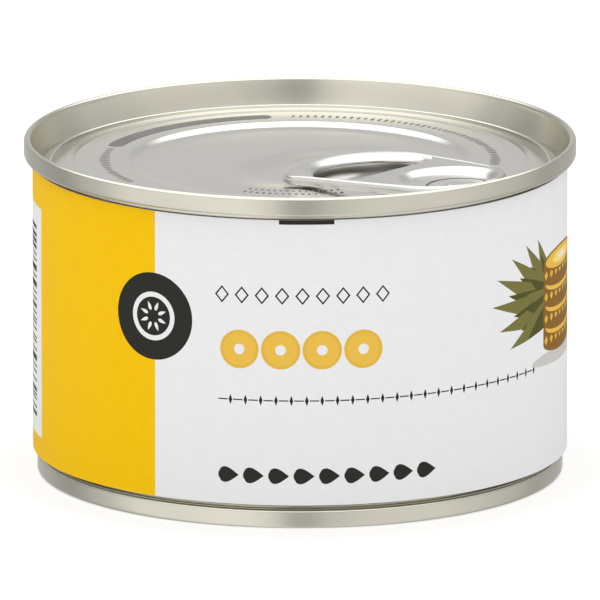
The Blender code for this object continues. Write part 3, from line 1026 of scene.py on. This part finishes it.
def draw_fields():
    """White paper, with the yellow field over both sides of the lap."""
    draw("paper", box(run(START_ANGLE), LABEL_BOTTOM, run(END_ANGLE), LABEL_TOP))
    draw("yellow", box(run(START_ANGLE), LABEL_BOTTOM, run(YELLOW_EDGE), LABEL_TOP))
    draw("yellow", box(run(YELLOW_BACK), LABEL_BOTTOM, run(END_ANGLE), LABEL_TOP))


def draw_disc():
    """A dark disc with a pale ring in it, round eight short leaves."""
    x, y = run(DISC_ANGLE), DISC_HEIGHT
    for ink, radius in (("charcoal", DISC_RADIUS), ("paper", 3.9), ("charcoal", 3.1)):
        draw(ink, circle((x, y), radius, 64))
    for k in range(8):
        turn = 45.0 * k + 22.5
        root = arc((x, y), 1.035, turn, turn, 1)[0]
        draw("paper", leaf(*root, turn, 1.5, 0.5))


def draw_rows():
    """Lozenges, slices, a broken rule with knots, leaves, and a dark tag at the top edge."""
    for k in range(9):
        x = -12.4 + 3.2 * k
        draw("charcoal", lozenge(x, 37.6, 1.15, 1.4))
        draw("paper", lozenge(x, 37.6, 0.82, 1.02))
    for k in range(4):
        ring_slice(-9.6 + 6.55 * k, 28.9, SLICE_RADIUS, "gold", "flesh", "paper")
    for k in range(24):
        x = ROW_START + 2.42 * k
        draw("charcoal", box(x, 20.65, x + 1.5, 20.85))
        draw("charcoal", lozenge(x + 1.97, 20.75, 0.3, 0.85))
    for k in range(9):
        draw("charcoal", leaf(ROW_START + 4.0 * k, 8.6, 0.0, 3.3, 2.2))
    draw("charcoal", box(-3.3, 49.1, 5.4, LABEL_TOP))


def draw_bars():
    """A white panel with bars of random thickness, the same ones each run."""
    left, right = -80.0, run(-74.7)
    draw("paper", box(left, 7.25, right, 44.35))
    chance = random.Random(5)
    y = 10.0
    while y < 40.8:
        thick = chance.choice((0.33, 0.33, 0.66, 0.99))
        draw("bar", box(left + 3.0, y, right - 3.4, y + thick))
        y += thick + chance.choice((0.33, 0.66, 0.66, 0.99))


def draw_fruit():
    """Two stacks of slices, with a tuft of leaves behind them."""
    draw("shade", oval(59.0, 21.5, 15.0, 1.3))
    for k, angle in enumerate(range(116, 208, 7)):
        reach = 19.0 - 0.13 * abs(angle - 165) - 4.5 * (k % 2)
        draw("leaf_dark" if k % 2 else "leaf", leaf(51.5, 30.2, angle, reach, 3.0))
    for k, angle in enumerate(range(120, 208, 14)):
        draw("leaf_dark" if k % 2 == 0 else "leaf", leaf(52.0, 30.2, angle, 10.0, 2.8))
    for x in (78.0, 57.0):
        for k in range(4):
            y = 23.9 + 3.5 * k
            draw("rind", oval(x, y, 9.0, 1.9))
            draw("rind", box(x - 9.0, y, x + 9.0, y + 2.5))
            for step in range(8):
                draw("gold", lozenge(x - 7.9 + 2.25 * step, y + 0.55, 0.7, 0.75))
            draw("rind", oval(x, y + 2.5, 9.0, 1.9))
            draw("flesh", oval(x, y + 2.5, 8.1, 1.6))
        draw("flesh_pale", oval(x, y + 2.5, 5.0, 0.95))
        draw("paper", oval(x, y + 2.5, 2.2, 0.42))


def draw_back():
    """Plain print for the back: a framed panel of rules, and a row of slices."""
    draw("charcoal", box(96.0, 8.0, 116.0, 45.5))
    draw("paper", box(96.35, 8.35, 115.65, 45.15))
    for k in range(11):
        draw("charcoal", box(98.0, 11.2 + 2.9 * k, 114.0, 11.35 + 2.9 * k))
    for k in range(5):
        ring_slice(-88.0 - 7.6 * k, 27.0, SLICE_RADIUS, "flesh_pale", "yellow", "flesh_pale")


for draw_part in (draw_fields, draw_disc, draw_rows, draw_bars, draw_fruit, draw_back):
    draw_part()
print(len(drawing), "printed shapes")

# %% [markdown]
# ## Rolling the label
# The flat triangles are wrapped onto the can. Lines every two and a half degrees are added to the
# filling, so that no triangle is long enough to cut a corner of the curve. The sheet gets a second
# side. Its first twelve degrees stand a little proud, as the lap that is glued over the other end,
# so a fine step runs down the back. Each face keeps the ink of the last shape that covers it. The
# normals are set to point straight out, because uneven triangles would otherwise shade in patches.
# The label is hidden from diffuse rays, which keeps its yellow from tinting the floor.

# %% Label
LAP_ANGLE = 12.0
LAP_FADE = 1.2
LAP_STEP = 0.15
COLUMN_STEP = 2.5
UV_LENGTH = 100.0
# Least agreement with the radius at which a face belongs to one of the sheet's two sides
FACES_OUT = 0.9


def wrap(x, y, radius):
    """A point of the flat sheet, rolled onto a cylinder with the front at -Y."""
    angle = x / LABEL_OUTER - math.pi / 2
    return (radius * math.cos(angle), radius * math.sin(angle), y)


def outside_radius(x):
    """The lap is proud of the rest of the sheet, and runs down to it at its end."""
    past = math.degrees(x / LABEL_OUTER) - START_ANGLE
    fade = min(1.0, max(0.0, (LAP_ANGLE - past) / LAP_FADE))
    return LABEL_OUTER + LAP_STEP * fade


def straight_out(point):
    """Direction from the can's axis to a point."""
    return Vector((point.x, point.y, 0.0)).normalized()


def label_normals(mesh):
    """Normals for both sides of the sheet that follow the cylinder, and flat ones for its edges."""
    normals = [None] * len(mesh.loops)
    for polygon in mesh.polygons:
        facing = polygon.normal.dot(straight_out(polygon.center))
        for k in polygon.loop_indices:
            if abs(facing) > FACES_OUT:
                spot = mesh.vertices[mesh.loops[k].vertex_index].co
                normals[k] = straight_out(spot) * math.copysign(1.0, facing)
            else:
                normals[k] = polygon.normal.copy()
    return normals


def make_label():
    """Fill the drawing, give it a second side and edges, and roll it round the can."""
    columns = []
    count = int((END_ANGLE - START_ANGLE) / COLUMN_STEP)
    for k in range(1, count + 1):
        x = run(START_ANGLE + (END_ANGLE - START_ANGLE) * k / (count + 1))
        columns.append((Vector((x, LABEL_BOTTOM)), Vector((x, LABEL_TOP))))
    places, triangles, owners = fill_outlines([outline for _, outline in drawing], columns)
    bm = bmesh.new()
    uv = bm.loops.layers.uv.new("sheet")
    outside = [bm.verts.new(wrap(p.x, p.y, outside_radius(p.x))) for p in places]
    inside = [bm.verts.new(wrap(p.x, p.y, LABEL_INNER)) for p in places]
    edges = []
    for corners, covers in zip(triangles, owners):
        if not covers:
            continue
        face = bm.faces.new([outside[k] for k in corners])
        face.material_index = ink_names.index(drawing[max(covers)][0])
        for loop, k in zip(face.loops, corners):
            loop[uv].uv = places[k] / UV_LENGTH
        bm.faces.new([inside[k] for k in reversed(corners)])
        edges += zip(corners, corners[1:] + corners[:1])
    used = set(edges)
    for a, b in edges:
        if (b, a) not in used:
            bm.faces.new((outside[b], outside[a], inside[a], inside[b]))
    bmesh.ops.scale(bm, vec=(MM, MM, MM), verts=bm.verts)
    bmesh.ops.recalc_face_normals(bm, faces=bm.faces)
    # Not by keep_piece, whose sharp edges would break up these normals
    mesh = bpy.data.meshes.new("paper_label")
    bm.to_mesh(mesh)
    bm.free()
    mesh.shade_smooth()
    mesh.normals_split_custom_set(label_normals(mesh))
    for material in ink_materials:
        mesh.materials.append(material)
    obj = new_object("paper_label", mesh)
    obj.visible_diffuse = False
    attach(obj, "root")
    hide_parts("label")
    return obj


print("paper_label", len(make_label().data.polygons), "faces")

# %% Finish
print("can made")
